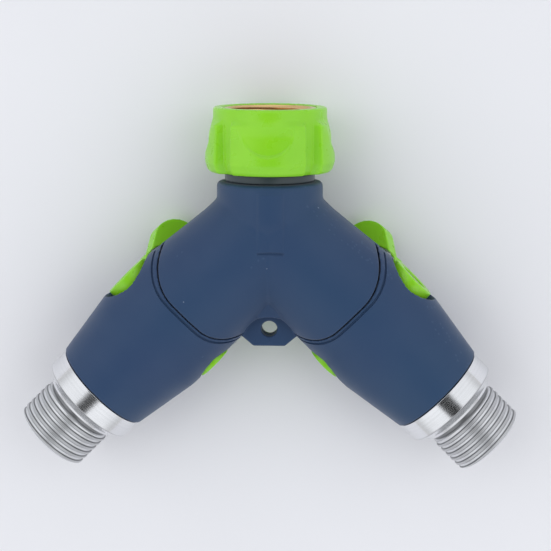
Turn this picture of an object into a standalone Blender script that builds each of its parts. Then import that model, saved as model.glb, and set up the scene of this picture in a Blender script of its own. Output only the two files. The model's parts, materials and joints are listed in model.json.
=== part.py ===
"""Two-way garden hose splitter: a Y manifold in a soft-touch shell, with a swivel inlet and two lever ball valves.

Frame: the inlet axis lies along Y and points to +Y, the two outlets point down and out at 45 degrees in the
horizontal plane, and the levers hang below. The origin is at the centre of the bounding box's base.
Every leg has an empty whose Z axis runs out along the leg from the junction and whose Y axis points up.
On each leg, OUTER is the side that faces away from the other leg.
"""

import math

import bmesh
import bpy
import numpy as np
from mathutils import Matrix, Vector

# Where the three axes meet, above the base
JUNCTION = (0.0, 0.02257, 0.0218)
LEG_ANGLE = math.radians(45)
GAP = 0.0003
ROUND_STEPS = 32
SMALL_STEPS = 18
THREAD_STEPS = 16

# Inlet, as heights above the junction along the inlet axis, and radii
COVER_TOP = 0.0137
COVER_NECK_RADIUS = 0.0177
COLLAR_RADIUS = 0.0150
COLLAR_TOP = 0.0165
GRIP_BOTTOM = 0.0167
GRIP_TOP = 0.0383
GRIP_RADIUS = 0.0189
GRIP_LOBE_RADIUS = 0.0214
GRIP_LOBES = 4
GRIP_LOBE_HALF_ANGLE = math.radians(35.5)
NUT_BOTTOM = 0.0170
NUT_TOP = 0.0380
NUT_RADIUS = 0.0154
SPIGOT_RADIUS = 0.0092
SPIGOT_TOP = 0.0245
INLET_PASSAGE = 0.0065

# Standard 3/4 inch garden hose thread, 11.5 turns to the inch
THREAD_PITCH = 0.0254 / 11.5
MALE_TURNS = 4.75
FEMALE_TURNS = 4.5
MALE_CREST = 0.0135
MALE_ROOT = 0.0121
FEMALE_CREST = 0.0124
FEMALE_ROOT = 0.0137

# Leg, as distances out from the junction, with half widths and radii
COVER_END = 0.0407
FRONT_COVER_END = 0.0322
SLEEVE_START = 0.0280
SLEEVE_END = 0.0803
SLEEVE_HALF_HEIGHT = 0.0180
BACK_HALF_HEIGHT = 0.0188
FRONT_HALF_HEIGHT = 0.0138
LEG_HALF_WIDTH = 0.0213
OUTER_WIDTH_AT = (0, 0.012, 0.020, 0.032, 0.042)
OUTER_WIDTHS = (0.0178, 0.0180, 0.0188, 0.0202, LEG_HALF_WIDTH)
LEG_END_RADIUS = 0.0178
SHOULDER_RADIUS = 0.0170
SHOULDER_END = 0.0870
OUTLET_END = 0.1065
OUTLET_PASSAGE = 0.0085
MANIFOLD_LEG_RADIUS = 0.0105
CHAMBER_RADIUS = 0.0145
CHAMBER_BORE = 0.0125
CHAMBER_START = 0.0330
CHAMBER_END = 0.0800

# Ball valve, as distances from its centre, which is the lever's pivot
HUB = 0.0475
BALL_RADIUS = 0.0090
BALL_PASSAGE = 0.0062
STEM_RADIUS = 0.0032
OUTER_BOSS_RADIUS = 0.0075
INNER_BOSS_RADIUS = 0.0061
BOSS_FACE = 0.0159
OUTER_RECESS_RADIUS = 0.0100
INNER_RECESS_RADIUS = 0.0069
OUTER_DISC_RADIUS = 0.0080
INNER_DISC_RADIUS = 0.0063
DISC_INNER = 0.0164
DISC_OUTER = 0.0213
LEVER_REST = math.radians(40)
LEVER_TURN = (-math.pi / 2 - LEVER_REST, 0, 0)
LEVER_OUTER_ROOT = 0.0204
LEVER_OUTER_ARM = 0.0248
LEVER_INNER_ARM = 0.0208
LEVER_ARM_FACE = 0.0173
LEVER_BAR_INNER = 0.0270
LEVER_BAR_OUTER = 0.0305
LEVER_THICKNESS = 0.0060
ARM_LAND = 0.0170
ARM_SWEEP = 0.0036

# Hanging lug, cover screws
LUG_HALF_THICKNESS = 0.0040
LUG_HOLE = (0.0, -0.0357)
LUG_HOLE_RADIUS = 0.0027
LUG_SEAT_RADIUS = 0.0062
LUG_SEAT = 0.0037
SCREW_SPOTS = {
    "upper_left": (-0.0136, 0.0070),
    "upper_right": (0.0136, 0.0070),
    "lower_left": (-0.0071, -0.0297),
    "lower_right": (0.0071, -0.0297),
}
SCREW_SEAT = -0.0072
SCREW_HEAD_HEIGHT = 0.0018
SCREW_HEAD_RADIUS = 0.0022
SCREW_SHANK_RADIUS = 0.0012
SCREW_END = 0.0060

FINISHES = {
    "soft_touch_navy": ((0.032, 0.062, 0.125), 0.62, 0.0),
    "lime_plastic": ((0.270, 0.640, 0.035), 0.30, 0.0),
    "machined_aluminium": ((0.800, 0.805, 0.810), 0.18, 1.0),
    "cast_aluminium": ((0.560, 0.565, 0.570), 0.45, 1.0),
    "brass": ((0.780, 0.540, 0.240), 0.25, 1.0),
    "dark_plastic": ((0.045, 0.060, 0.072), 0.45, 0.0),
    "black_rubber": ((0.020, 0.020, 0.021), 0.75, 0.0),
    "seal_plastic": ((0.800, 0.800, 0.780), 0.40, 0.0),
    "stainless_steel": ((0.620, 0.620, 0.630), 0.28, 1.0),
    "chromed_brass": ((0.750, 0.755, 0.760), 0.10, 1.0),
}


def clear_scene():
    for old in list(bpy.data.objects):
        bpy.data.objects.remove(old, do_unlink=True)


def new_collection(name):
    made = bpy.data.collections.new(name)
    bpy.context.scene.collection.children.link(made)
    return made


def empty(name, parent, location, rotation=(0, 0, 0)):
    made = bpy.data.objects.new(name, None)
    parts.objects.link(made)
    made.parent = parent
    made.location = location
    made.rotation_euler = rotation
    return made


def finish_as(obj, finish):
    """The part's own material, in one of the named finishes."""
    colour, roughness, metallic = FINISHES[finish]
    made = bpy.data.materials.new(f"{obj.name}_{finish}")
    made.use_nodes = True
    shader = made.node_tree.nodes["Principled BSDF"]
    shader.inputs["Base Color"].default_value = (*colour, 1)
    shader.inputs["Roughness"].default_value = roughness
    shader.inputs["Metallic"].default_value = metallic
    obj.data.materials.append(made)


def placed(name, mesh, parent, location=(0, 0, 0), rotation=(0, 0, 0), finish=None):
    """An object of this mesh under parent: a part with a finish, or a hidden cutter without one."""
    made = bpy.data.objects.new(name, mesh)
    made.parent = parent
    made.location = location
    made.rotation_euler = rotation
    if finish:
        parts.objects.link(made)
        finish_as(made, finish)
    else:
        cutters.objects.link(made)
        made.hide_render = True
        made.display_type = "WIRE"
    return made


def combine(obj, other, operation="DIFFERENCE"):
    """Cuts other from obj, or joins or intersects the two."""
    step = obj.modifiers.new(f"{operation.lower()}_{other.name}", "BOOLEAN")
    step.operation = operation
    step.solver = "MANIFOLD"
    step.object = other
    return obj


def chamfer_edges(obj, width, angle=35):
    step = obj.modifiers.new("chamfered_edges", "BEVEL")
    step.width = width
    step.segments = 1
    step.limit_method = "ANGLE"
    step.angle_limit = math.radians(angle)
    return obj


def turned(name, profile, parent, steps=SMALL_STEPS, **placing):
    """A turned solid about local Z. The profile lists (radius, height) round the section, off the axis for a ring."""
    area = sum(a[0] * b[1] - b[0] * a[1] for a, b in zip(profile, profile[1:] + profile[:1]))
    if area > 0:
        profile = profile[::-1]
    count = len(profile)
    on_axis = min(radius for radius, _ in profile) == 0
    if on_axis:
        while not (profile[0][0] == 0 and profile[-1][0] == 0):
            profile = profile[1:] + profile[:1]
    edges = [(i, (i + 1) % count) for i in range(count - on_axis)]
    mesh = bpy.data.meshes.new(name)
    mesh.from_pydata([(radius, 0, height) for radius, height in profile], edges, [])
    made = placed(name, mesh, parent, **placing)
    spin = made.modifiers.new("turned", "SCREW")
    spin.axis = "Z"
    spin.angle = math.tau
    spin.steps = steps
    spin.render_steps = steps
    spin.use_merge_vertices = True
    spin.merge_threshold = 0.000001
    spin.use_smooth_shade = True
    return made


def rod(name, radius, low, high, parent, **placing):
    """A plain turned cylinder from low to high along local Z."""
    profile = [(0, low), (radius, low), (radius, high), (0, high)]
    return turned(name, profile, parent, **placing)


def stepped_rod(inner_radius, outer_radius, reach):
    """The section of a rod across a hub, of one radius on the leg's inner side and another on its outer side."""
    return [(0, -reach), (inner_radius, -reach), (inner_radius, 0), (outer_radius, 0), (outer_radius, reach), (0, reach)]


def ring(name, inner, outer, low, high, parent, **placing):
    profile = [(inner, low), (outer, low), (outer, high), (inner, high)]
    return turned(name, profile, parent, **placing)


def o_ring(name, centre_radius, wire_radius, height, parent, finish):
    """A ring of six-sided section about local Z."""
    profile = []
    for i in range(6):
        angle = math.tau * i / 6
        profile.append((centre_radius + wire_radius * math.cos(angle), height + wire_radius * math.sin(angle)))
    return turned(name, profile, parent, finish=finish)


def arc_points(centre, radius, start, end, steps):
    points = []
    for i in range(steps + 1):
        angle = start + (end - start) * i / steps
        points.append((centre[0] + radius * math.cos(angle), centre[1] + radius * math.sin(angle)))
    return points


def rounded(corners, steps=6):
    """The corners as an outline. Each is (x, y, radius), and a radius above 0 turns it into an arc."""
    outline = []
    for i, (x, y, radius) in enumerate(corners):
        corner = Vector((x, y))
        before = (Vector(corners[i - 1][:2]) - corner).normalized()
        after = (Vector(corners[(i + 1) % len(corners)][:2]) - corner).normalized()
        if radius == 0:
            outline.append((x, y))
            continue
        half = before.angle(after) / 2
        centre = corner + (before + after).normalized() * radius / math.sin(half)
        first = corner + before * radius / math.tan(half) - centre
        last = corner + after * radius / math.tan(half) - centre
        start = math.atan2(first.y, first.x)
        sweep = math.remainder(math.atan2(last.y, last.x) - start, math.tau)
        outline += arc_points(centre, radius, start, start + sweep, steps)
    return outline


def plate_mesh(name, outline, thickness):
    """The flat outline in local XY, thickened equally to both sides, as a closed mesh."""
    curve = bpy.data.curves.new(name, "CURVE")
    curve.dimensions = "2D"
    curve.fill_mode = "BOTH"
    curve.extrude = thickness / 2
    spline = curve.splines.new("POLY")
    spline.points.add(len(outline) - 1)
    for point, (x, y) in zip(spline.points, outline):
        point.co = (x, y, 0, 1)
    spline.use_cyclic_u = True
    source = bpy.data.objects.new(name, curve)
    cutters.objects.link(source)
    graph = bpy.context.evaluated_depsgraph_get()
    mesh = bpy.data.meshes.new_from_object(source.evaluated_get(graph))
    bpy.data.objects.remove(source)
    bm = bmesh.new()
    bm.from_mesh(mesh)
    bmesh.ops.remove_doubles(bm, verts=bm.verts, dist=0.000001)
    bmesh.ops.recalc_face_normals(bm, faces=bm.faces)
    bm.to_mesh(mesh)
    bm.free()
    return mesh


def block_mesh(name, low, high):
    """A box between two corners."""
    bm = bmesh.new()
    size = [b - a for a, b in zip(low, high)]
    middle = [(a + b) / 2 for a, b in zip(low, high)]
    matrix = Matrix.Translation(middle) @ Matrix.Diagonal((*size, 1))
    bmesh.ops.create_cube(bm, size=1, matrix=matrix)
    mesh = bpy.data.meshes.new(name)
    bm.to_mesh(mesh)
    bm.free()
    return mesh


def loft_mesh(name, sections, segments=ROUND_STEPS):
    """A closed loft along Z through (height, low x, high x, half height, fullness), where 2 is an ellipse."""
    bm = bmesh.new()
    loops = []
    for number, (height, low, high, half_y, fullness) in enumerate(sections):
        is_end = number in (0, len(sections) - 1)
        verts = bmesh.ops.create_circle(bm, cap_ends=is_end, radius=1, segments=segments)["verts"]
        for vert in verts:
            x = math.copysign(abs(vert.co.x) ** (2 / fullness), vert.co.x)
            y = math.copysign(abs(vert.co.y) ** (2 / fullness), vert.co.y)
            vert.co = ((low + high) / 2 + x * (high - low) / 2, y * half_y, height)
        loops.append(list({edge for vert in verts for edge in vert.link_edges}))
    for near, far in zip(loops, loops[1:]):
        bmesh.ops.bridge_loops(bm, edges=near + far)
    bmesh.ops.recalc_face_normals(bm, faces=bm.faces)
    mesh = bpy.data.meshes.new(name)
    bm.to_mesh(mesh)
    bm.free()
    return mesh


def thread_mesh(name, root, crest, start, turns):
    """A thread's ridge, from start along Z, with the standard pitch and a flat crest."""
    bm = bmesh.new()
    foot = 0.42 * THREAD_PITCH
    flat = 0.10 * THREAD_PITCH
    corners = ((root, -foot), (crest, -flat), (crest, flat), (root, foot))
    face = bm.faces.new([bm.verts.new((radius, 0, start + height)) for radius, height in corners])
    bmesh.ops.spin(
        bm,
        geom=[face, *face.edges, *face.verts],
        cent=(0, 0, 0),
        axis=(0, 0, 1),
        dvec=(0, 0, THREAD_PITCH / THREAD_STEPS),
        angle=math.tau * turns,
        steps=int(turns * THREAD_STEPS),
    )
    bmesh.ops.recalc_face_normals(bm, faces=bm.faces)
    mesh = bpy.data.meshes.new(name)
    bm.to_mesh(mesh)
    bm.free()
    return mesh


def outer_width(distance):
    """The body's half width on a leg's outer side, which flares out a little from the neck to the hub."""
    return float(np.interp(distance, OUTER_WIDTH_AT, OUTER_WIDTHS))


def leg_section(distance, side, half_height, fullness):
    inner = 0.0210 if distance < HUB else LEG_HALF_WIDTH
    ends = sorted((side * outer_width(distance), -side * inner))
    return (distance, ends[0], ends[1], half_height, fullness)


def end_section(distance, radius):
    return (distance, -radius, radius, radius, 2)


def tongue_mesh(name, side, grow=0.0, height=0.06):
    """The plan outline of the back cover's end over one leg."""
    end = COVER_END + grow
    half = LEG_HALF_WIDTH + grow
    corners = [
        (side * half, -0.030, 0),
        (side * half, end, 0.0155 + grow),
        (-side * half, end, 0.0098 + grow),
        (-side * half, -0.030, 0),
    ]
    return plate_mesh(name, rounded(corners), height)


def cover_block(name, side, leg, half_height, fullness):
    """One leg's part of a cover, which rises out of the neck, before it is joined to it and cut to length."""
    rises = ((0, 0.0024), (0.008, 0.0010), (0.020, 0), (0.0375, 0), (0.0435, 0))
    sections = [leg_section(distance, side, half_height - drop, fullness) for distance, drop in rises]
    return placed(f"{name}_block", loft_mesh(name, sections), leg)


def neck_profile(low_radius):
    edge = 0.0010
    return [
        (0, -0.014),
        (low_radius, -0.014),
        (COVER_NECK_RADIUS, 0.0012),
        (COVER_NECK_RADIUS, COVER_TOP - edge),
        (COVER_NECK_RADIUS - edge * 0.3, COVER_TOP - edge * 0.3),
        (COVER_NECK_RADIUS - edge, COVER_TOP),
        (0, COVER_TOP),
    ]


def lug_plate():
    outline = rounded(
        [
            (-0.0053, -0.0420, 0.0010),
            (0.0053, -0.0420, 0.0010),
            (0.0094, -0.0385, 0),
            (0.0053, -0.0260, 0),
            (-0.0053, -0.0260, 0),
            (-0.0094, -0.0385, 0),
        ],
        steps=3,
    )
    mesh = plate_mesh("lug_plate", outline, 2 * LUG_HALF_THICKNESS)
    return placed("lug_plate", mesh, junction)


def covers():
    """The back and front halves of the shell over the junction, with the hanging lug between them."""
    lug = lug_plate()
    hole = rod("lug_hole", LUG_HOLE_RADIUS, -0.02, 0.02, junction, location=(*LUG_HOLE, 0))
    seat = rod("lug_seat", LUG_SEAT_RADIUS, LUG_SEAT, 0.03, junction, location=(*LUG_HOLE, 0), steps=31)
    front_ends = []
    for leg in legs.values():
        reach = LEG_HALF_WIDTH + GAP
        mesh = block_mesh(f"front_end_{leg.name}", (-reach, -0.03, FRONT_COVER_END), (reach, 0.03, 0.06))
        front_ends.append(placed(mesh.name, mesh, leg))
    neck_room = rod("neck_room", MANIFOLD_LEG_RADIUS + 0.0004, -0.01, 0.03, inlet)
    far = 0.09
    kept = {"back": (-far, -far, -far, far, far, GAP / 2), "front": (-far, -far, -GAP / 2, far, far, far)}
    for half, box in kept.items():
        back = half == "back"
        low_radius = 0.0148 if back else 0.0105
        profile = neck_profile(low_radius)
        cover = turned(f"{half}_cover", profile, inlet, steps=ROUND_STEPS, finish="soft_touch_navy")
        for side, leg in legs.items():
            if back:
                block = cover_block(f"back_{leg.name}", side, leg, BACK_HALF_HEIGHT, 2.1)
                mesh = tongue_mesh(f"tongue_{leg.name}", side)
                tongue = placed(mesh.name, mesh, leg, rotation=(math.pi / 2, 0, 0))
                combine(block, tongue, "INTERSECT")
            else:
                block = cover_block(f"front_{leg.name}", side, leg, FRONT_HALF_HEIGHT, 3)
            combine(cover, block, "UNION")
        combine(cover, lug, "UNION")
        cuts = [neck_room, hole, *leg_rooms.values(), *hub_recesses.values(), *screw_rooms]
        cuts += [seat] if back else front_ends + list(arm_lands.values())
        for cutter in cuts:
            combine(cover, cutter)
        cut = placed(f"{half}_half_cut", block_mesh(f"{half}_half_cut", box[:3], box[3:]), junction)
        combine(cover, cut)


def leg_room(leg):
    """The hollow that the manifold's leg takes up inside the shell."""
    slack = 0.0004
    profile = [
        (0, -0.006),
        (MANIFOLD_LEG_RADIUS + slack, -0.006),
        (MANIFOLD_LEG_RADIUS + slack, CHAMBER_START - slack),
        (CHAMBER_RADIUS + slack, CHAMBER_START - slack),
        (CHAMBER_RADIUS + slack, 0.090),
        (0, 0.090),
    ]
    return turned(f"{leg.name}_room", profile, leg, steps=ROUND_STEPS)


def cover_screws():
    """Four screws from the front cover up into the back cover, and the holes they need."""
    rooms = []
    for spot, (x, y) in SCREW_SPOTS.items():
        head = SCREW_SEAT - SCREW_HEAD_HEIGHT
        socket = head + 0.0010
        profile = [
            (0, socket),
            (0.0009, socket),
            (0.0011, head),
            (SCREW_HEAD_RADIUS, head + 0.0003),
            (SCREW_HEAD_RADIUS, SCREW_SEAT),
            (SCREW_SHANK_RADIUS, SCREW_SEAT),
            (SCREW_SHANK_RADIUS, SCREW_END - 0.0010),
            (0, SCREW_END),
        ]
        turned(f"cover_screw_{spot}", profile, junction, location=(x, y, 0), steps=16, finish="stainless_steel")
        slack = 0.0004
        room = [
            (0, -0.03),
            (SCREW_HEAD_RADIUS + slack, -0.03),
            (SCREW_HEAD_RADIUS + slack, SCREW_SEAT + GAP),
            (SCREW_SHANK_RADIUS + GAP, SCREW_SEAT + GAP),
            (SCREW_SHANK_RADIUS + GAP, SCREW_END + GAP),
            (0, SCREW_END + GAP),
        ]
        rooms.append(turned(f"screw_room_{spot}", room, junction, location=(x, y, 0), steps=16))
    return rooms


def leg_sleeve(word, side, leg):
    """The soft sleeve round one valve, open at both ends and round the lever's hub."""
    sections = [
        leg_section(SLEEVE_START, side, SLEEVE_HALF_HEIGHT, 2.1),
        leg_section(0.0380, side, SLEEVE_HALF_HEIGHT, 2.1),
        leg_section(0.0575, side, SLEEVE_HALF_HEIGHT, 2.1),
        end_section(SLEEVE_END - 0.0006, LEG_END_RADIUS),
        end_section(SLEEVE_END, LEG_END_RADIUS - 0.0006),
    ]
    name = f"{word}_leg_sleeve"
    sleeve = placed(name, loft_mesh(name, sections), leg, finish="soft_touch_navy")
    combine(sleeve, leg_rooms[side])
    tongue = tongue_mesh(f"{name}_tongue", side, grow=GAP, height=0.03)
    up = 0.03 / 2 - GAP / 2
    combine(sleeve, placed(tongue.name, tongue, leg, location=(0, up, 0), rotation=(math.pi / 2, 0, 0)))
    front = block_mesh(f"{name}_front", (-0.03, -0.03, 0), (0.03, GAP / 2, FRONT_COVER_END + GAP))
    combine(sleeve, placed(front.name, front, leg))
    combine(sleeve, hub_recesses[side])
    combine(sleeve, arm_lands[side])


def manifold():
    """The cast Y tube that carries the water, with a chamber and two bosses for each ball valve."""
    groove = 0.0019
    spigot = [
        (0, -0.004),
        (MANIFOLD_LEG_RADIUS, -0.004),
        (MANIFOLD_LEG_RADIUS, 0.0126),
        (SPIGOT_RADIUS, 0.0126),
        (SPIGOT_RADIUS, 0.0180),
        (0.0075, 0.0180),
        (0.0075, 0.0180 + groove),
        (SPIGOT_RADIUS, 0.0180 + groove),
        (SPIGOT_RADIUS, 0.0213),
        (0.0084, 0.0213),
        (0.0084, 0.0227),
        (SPIGOT_RADIUS, 0.0227),
        (SPIGOT_RADIUS, SPIGOT_TOP),
        (0, SPIGOT_TOP),
    ]
    casting = turned("manifold", spigot, inlet, steps=26, finish="cast_aluminium")
    for side, leg in legs.items():
        outside = [
            (0, 0),
            (MANIFOLD_LEG_RADIUS, 0),
            (MANIFOLD_LEG_RADIUS, CHAMBER_START),
            (CHAMBER_RADIUS, CHAMBER_START),
            (CHAMBER_RADIUS, CHAMBER_END),
            (0, CHAMBER_END),
        ]
        combine(casting, turned(f"{leg.name}_tube", outside, leg, steps=28), "UNION")
        boss_section = stepped_rod(INNER_BOSS_RADIUS, OUTER_BOSS_RADIUS, BOSS_FACE)
        combine(casting, turned(f"{leg.name}_bosses", boss_section, hubs[side], steps=24), "UNION")
    for side, leg in legs.items():
        inside = [
            (0, -0.003),
            (INLET_PASSAGE, -0.003),
            (INLET_PASSAGE, 0.0385),
            (CHAMBER_BORE, 0.0385),
            (CHAMBER_BORE, 0.090),
            (0, 0.090),
        ]
        combine(casting, turned(f"{leg.name}_passage", inside, leg, steps=26))
        stem_room = [
            (0, 0.009),
            (STEM_RADIUS + GAP, 0.009),
            (STEM_RADIUS + GAP, 0.0136),
            (0.0053, 0.0136),
            (0.0053, 0.020),
            (0, 0.020),
        ]
        combine(casting, turned(f"{leg.name}_stem_room", stem_room, hubs[side]))
        pivot_room = rod(f"{leg.name}_pivot_room", 0.0017, -0.020, -0.0132, hubs[side], rotation=(0, 0, 0.1))
        combine(casting, pivot_room)
    combine(casting, rod("inlet_passage", INLET_PASSAGE, 0, 0.05, inlet, steps=24))


def inlet_swivel():
    """The brass nut with its moulded grip, and what it holds. All of it turns on the manifold's spigot."""
    nut = [
        (SPIGOT_RADIUS + GAP, NUT_BOTTOM),
        (NUT_RADIUS - 0.0006, NUT_BOTTOM),
        (NUT_RADIUS, NUT_BOTTOM + 0.0006),
        (NUT_RADIUS, NUT_TOP),
        (FEMALE_ROOT + 0.0004, NUT_TOP),
        (FEMALE_ROOT, NUT_TOP - 0.0004),
        (FEMALE_ROOT, 0.0258),
        (0.0125, 0.0258),
        (0.0125, 0.0208),
        (SPIGOT_RADIUS + GAP, 0.0208),
    ]
    swivel_nut = turned("inlet_swivel_nut", nut, swivel, steps=ROUND_STEPS, finish="brass")
    ridge = thread_mesh("female_thread", FEMALE_ROOT + 0.0002, FEMALE_CREST, 0.0265, FEMALE_TURNS)
    combine(swivel_nut, placed(ridge.name, ridge, swivel), "UNION")
    swivel_grip()
    ring("inlet_washer", 0.0082, 0.0121, 0.0248, 0.0274, swivel, finish="black_rubber")


def lobed_outline():
    """The grip's section: a circle with four broad lobes."""
    points = []
    for lobe in range(GRIP_LOBES):
        middle = math.tau * lobe / GRIP_LOBES
        start, end = middle - GRIP_LOBE_HALF_ANGLE, middle + GRIP_LOBE_HALF_ANGLE
        points += arc_points((0, 0), GRIP_LOBE_RADIUS + 0.001, start, end, 10)
        points += arc_points((0, 0), GRIP_RADIUS, end + 0.08, end + 0.17, 1)
    return points


def swivel_grip():
    """The lobed plastic grip round the brass nut. Each lobe has a shallow thumb hollow."""
    envelope = [
        (0, GRIP_BOTTOM),
        (0.0172, GRIP_BOTTOM),
        (0.0196, GRIP_BOTTOM + 0.0010),
        (0.0210, GRIP_BOTTOM + 0.0028),
        (GRIP_LOBE_RADIUS, GRIP_BOTTOM + 0.0050),
        (GRIP_LOBE_RADIUS - 0.0007, 0.0322),
        (GRIP_RADIUS, 0.0346),
        (GRIP_RADIUS, GRIP_TOP - 0.0010),
        (GRIP_RADIUS - 0.0008, GRIP_TOP),
        (0, GRIP_TOP),
    ]
    grip = turned("swivel_grip", envelope, swivel, steps=50, finish="lime_plastic")
    outline = plate_mesh("grip_outline", lobed_outline(), 0.08)
    combine(grip, placed("grip_outline", outline, swivel, location=(0, 0, 0.02)), "INTERSECT")
    combine(grip, rod("grip_bore", NUT_RADIUS + GAP, 0, 0.05, swivel, steps=ROUND_STEPS))
    reach = 0.0140
    for lobe in range(GRIP_LOBES):
        angle = math.tau * lobe / GRIP_LOBES
        centre = (GRIP_LOBE_RADIUS - 0.0012 + reach) * Vector((math.cos(angle), math.sin(angle), 0))
        hollow = [
            (0, 0.0325 - reach * 0.64),
            (reach * 0.60, 0.0325 - reach * 0.51),
            (reach * 0.92, 0.0325 - reach * 0.25),
            (reach, 0.0325),
            (reach, 0.0440),
            (0, 0.0440),
        ]
        combine(grip, turned(f"thumb_hollow_{lobe}", hollow, swivel, location=centre, steps=32))


def filter_screen():
    """A strainer disc behind the washer, with rings of holes."""
    profile = [(0, 0.0250), (0.0079, 0.0250), (0.0079, 0.0257), (0, 0.0257)]
    screen = turned("filter_screen", profile, swivel, finish="stainless_steel")
    bm = bmesh.new()
    for radius, count in ((0, 1), (0.0030, 6), (0.0058, 12)):
        for i in range(count):
            angle = math.tau * i / count
            centre = Matrix.Translation((radius * math.cos(angle), radius * math.sin(angle), 0.0255))
            bmesh.ops.create_cone(
                bm, cap_ends=True, segments=8, radius1=0.0010, radius2=0.0010, depth=0.004, matrix=centre
            )
    mesh = bpy.data.meshes.new("screen_holes")
    bm.to_mesh(mesh)
    bm.free()
    combine(screen, placed("screen_holes", mesh, swivel))


def outlet_tailpiece(word, side, leg):
    """The turned aluminium outlet, with its polished shoulder and male hose thread."""
    start = CHAMBER_END + 0.0003
    flange = SLEEVE_END + GAP
    profile = [
        (OUTLET_PASSAGE, 0.0562),
        (CHAMBER_BORE - 0.0004, 0.0562),
        (CHAMBER_BORE - 0.0004, 0.0720),
        (0.0108, 0.0720),
        (0.0108, 0.0740),
        (CHAMBER_BORE - 0.0004, 0.0740),
        (CHAMBER_BORE - 0.0004, start),
        (CHAMBER_RADIUS, start),
        (CHAMBER_RADIUS, flange),
        (SHOULDER_RADIUS - 0.0003, flange),
        (SHOULDER_RADIUS, flange + 0.0003),
        (SHOULDER_RADIUS, SHOULDER_END),
        (0.0141, SHOULDER_END + 0.0024),
        (0.0139, SHOULDER_END + 0.0034),
        (0.0119, SHOULDER_END + 0.0040),
        (0.0119, SHOULDER_END + 0.0056),
        (MALE_ROOT, SHOULDER_END + 0.0058),
        (MALE_ROOT, OUTLET_END - 0.0006),
        (MALE_ROOT - 0.0006, OUTLET_END),
        (OUTLET_PASSAGE + 0.0007, OUTLET_END),
        (OUTLET_PASSAGE, OUTLET_END - 0.0007),
    ]
    name = f"{word}_outlet_tailpiece"
    tail = turned(name, profile, leg, steps=ROUND_STEPS, finish="machined_aluminium")
    first_turn = OUTLET_END - 0.0009 - (MALE_TURNS + 0.42) * THREAD_PITCH
    ridge = thread_mesh(f"{word}_male_thread", MALE_ROOT - 0.0003, MALE_CREST, first_turn, MALE_TURNS)
    starts_outside = (0, 0, 0 if side > 0 else math.pi)
    combine(tail, placed(ridge.name, ridge, leg, rotation=starts_outside), "UNION")
    o_ring(f"{word}_tailpiece_o_ring", 0.0116, 0.0006, 0.0730, leg, "black_rubber")


def ball_valve(word, leg, hub):
    """The ball, its two seats and the stem and seal that turn it."""
    ball = []
    for i in range(11):
        angle = -math.pi / 2 + math.pi * i / 10
        ball.append((BALL_RADIUS * math.cos(angle) if 0 < i < 10 else 0, BALL_RADIUS * math.sin(angle)))
    made = turned(f"{word}_ball", ball, hub, steps=24, finish="chromed_brass")
    bore = rod(f"{word}_ball_bore", BALL_PASSAGE, -0.02, 0.02, leg, location=(0, 0, HUB), steps=22)
    combine(made, bore)
    slot = block_mesh(f"{word}_ball_slot", (-0.006, -0.0014, 0.0072), (0.006, 0.0014, 0.012))
    combine(made, placed(slot.name, slot, hub))
    seat = [(0.0064, 0.0069), (0.0079, 0.0050), (0.0118, 0.0050), (0.0118, 0.0085), (0.0064, 0.0085)]
    middle = (0, 0, HUB)
    turned(f"{word}_outlet_seat", seat, leg, steps=24, location=middle, finish="seal_plastic")
    inward = [(radius, -height) for radius, height in seat]
    turned(f"{word}_inlet_seat", inward, leg, steps=24, location=middle, finish="seal_plastic")
    stem = [
        (0, 0.0092),
        (0.0044, 0.0092),
        (0.0044, 0.0112),
        (STEM_RADIUS, 0.0116),
        (STEM_RADIUS, 0.0184),
        (0.0016, 0.0184),
        (0.0016, 0.0140),
        (0, 0.0140),
    ]
    stem_part = turned(f"{word}_valve_stem", stem, hub, finish="stainless_steel")
    tongue = block_mesh(f"{word}_stem_tongue", (-0.0040, -0.0011, 0.0076), (0.0040, 0.0011, 0.0100))
    combine(stem_part, placed(tongue.name, tongue, hub), "UNION")
    o_ring(f"{word}_stem_o_ring", 0.0043, 0.0007, 0.0147, hub, "black_rubber")


def pan_screw_profile(seat, head_radius, head, shank, end):
    """A screw about local Z, head outwards, from its end in the thread to its head above the seat."""
    return [
        (0, end),
        (shank, end + 0.0004),
        (shank, seat),
        (head_radius, seat),
        (head_radius, seat + head * 0.6),
        (head_radius * 0.8, seat + head),
        (0.0012, seat + head),
        (0.0010, seat + head * 0.4),
        (0, seat + head * 0.4),
    ]


def pivot_hardware(word, hub):
    """The screw that holds the lever on its stem, and the shoulder screw that it pivots on opposite."""
    turned(
        f"{word}_stem_screw",
        pan_screw_profile(0.0191, 0.0042, 0.0017, 0.0013, 0.0143),
        hub,
        finish="stainless_steel",
    )
    pivot = [
        (0, -0.0135),
        (0.0013, -0.0139),
        (0.0013, -0.0162),
        (STEM_RADIUS, -0.0162),
        (STEM_RADIUS, -0.0191),
        (0.0042, -0.0191),
        (0.0042, -0.0202),
        (0.0034, -0.0208),
        (0.0012, -0.0208),
        (0.0010, -0.0198),
        (0, -0.0198),
    ]
    turned(f"{word}_pivot_screw", pivot, hub, finish="stainless_steel")


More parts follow.
